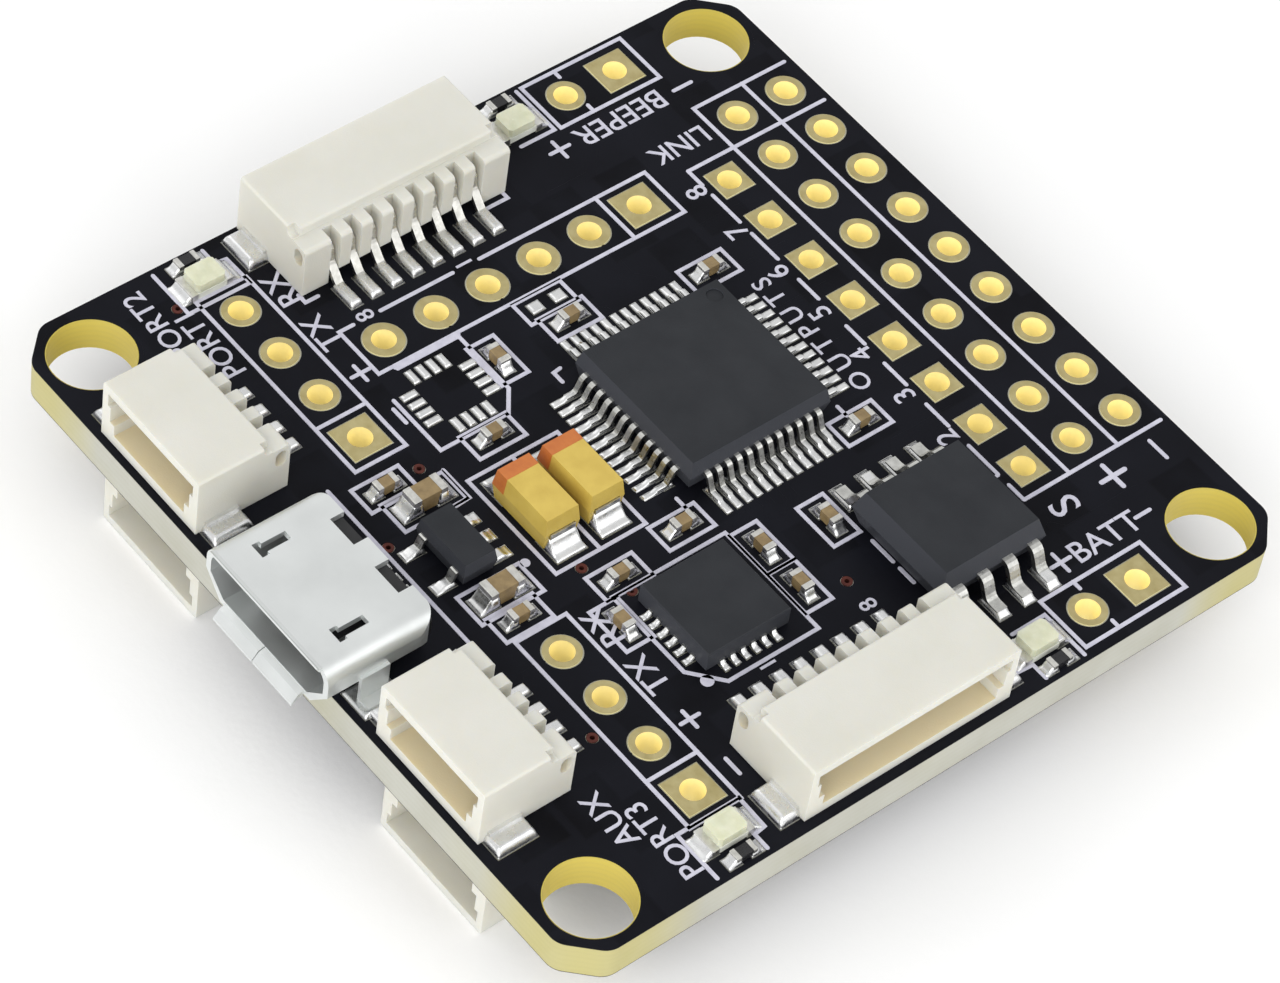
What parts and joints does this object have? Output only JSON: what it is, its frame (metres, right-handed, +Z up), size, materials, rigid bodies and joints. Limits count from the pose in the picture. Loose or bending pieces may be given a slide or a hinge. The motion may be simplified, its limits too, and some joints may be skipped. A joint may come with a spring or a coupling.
{
  "type": "flight controller board",
  "caption": "Square flight controller circuit board with mounting holes, plug ports, a USB socket, soldered chips and plated header holes.",
  "frame": {"origin": "centre of the four stack holes on the board's underside", "axes": "+Z up out of the component side, -Y towards the USB edge, +X towards the battery pad edge"},
  "size_m": [0.035, 0.0364, 0.0076],
  "materials": {
    "laminate": "glass-fibre epoxy, bare cut edge",
    "mask_lacquer": "black solder mask, semi-gloss",
    "gold_plate": "soft gold over nickel",
    "bare_copper": "dull copper ring",
    "tinned_land": "solder coated",
    "package_resin": "moulded epoxy, fine matt",
    "tinned_lead": "tin plated",
    "chip_end_metal": "tin plated, slightly dull",
    "tantalum_resin": "moulded yellow resin",
    "band_paint": "orange polarity band",
    "capacitor_ceramic": "fired brown ceramic",
    "resistor_glaze": "black glaze",
    "led_base": "white",
    "led_lens": "milky clear",
    "port_nylon": "ivory, fine moulded",
    "contact_metal": "tin plated",
    "anchor_steel": "tin plated",
    "shell_steel": "nickel plated, satin",
    "socket_plastic": "black",
    "crystal_ceramic": "fired",
    "lid_metal": "satin",
    "legend_ink": "white printed legend",
    "solder": "bright, flowed"
  },
  "bodies": {
    "root": {"battery_pads": "gold_plate", "boot_pads": "gold_plate", "bottom_solder_mask": "mask_lacquer", "buzzer_pads": "gold_plate", "circuit_board": "laminate", "component_lands": "tinned_land", "crystal_base": "crystal_ceramic", "crystal_lid": "lid_metal", "diode_body": "package_resin", "diode_leads": "tinned_lead", "flash_memory_body": "package_resin", "flash_memory_leads": "tinned_lead", "front_left_port_contacts": "contact_metal", "front_left_port_housing": "port_nylon", "front_right_port_contacts": "contact_metal", "front_right_port_housing": "port_nylon", "ground_row_pads": "gold_plate", "gyro_body": "package_resin", "gyro_terminals": "tinned_lead", "large_capacitor_bodies": "capacitor_ceramic", "large_capacitor_ends": "chip_end_metal", "led_bases": "led_base", "led_ends": "chip_end_metal", "led_lenses": "led_lens", "left_port_contacts": "contact_metal", "left_port_housing": "port_nylon", "open_vias": "bare_copper", "port_anchors": "anchor_steel", "port_lands": "tinned_land", "power_row_pads": "gold_plate", "processor_body": "package_resin", "processor_lands": "tinned_land", "processor_leads": "tinned_lead", "receiver_header_pads": "gold_plate", "regulator_body": "package_resin", "regulator_leads": "tinned_lead", "resistor_bodies": "resistor_glaze", "resistor_ends": "chip_end_metal", "right_port_contacts": "contact_metal", "right_port_housing": "port_nylon", "serial_one_pads": "gold_plate", "serial_three_pads": "gold_plate", "signal_row_pads": "gold_plate", "small_capacitor_bodies": "capacitor_ceramic", "small_capacitor_ends": "chip_end_metal", "spare_sensor_lands": "tinned_land", "tantalum_bands": "band_paint", "tantalum_bodies": "tantalum_resin", "tantalum_terminals": "tinned_lead", "top_solder_mask": "mask_lacquer", "transistor_bodies": "package_resin", "transistor_leads": "tinned_lead", "under_left_port_contacts": "contact_metal", "under_left_port_housing": "port_nylon", "under_right_port_contacts": "contact_metal", "under_right_port_housing": "port_nylon", "underside_lands": "tinned_land", "usb_contacts": "contact_metal", "usb_insulator": "socket_plastic", "usb_shell": "shell_steel"}
  },
  "joints": []
}
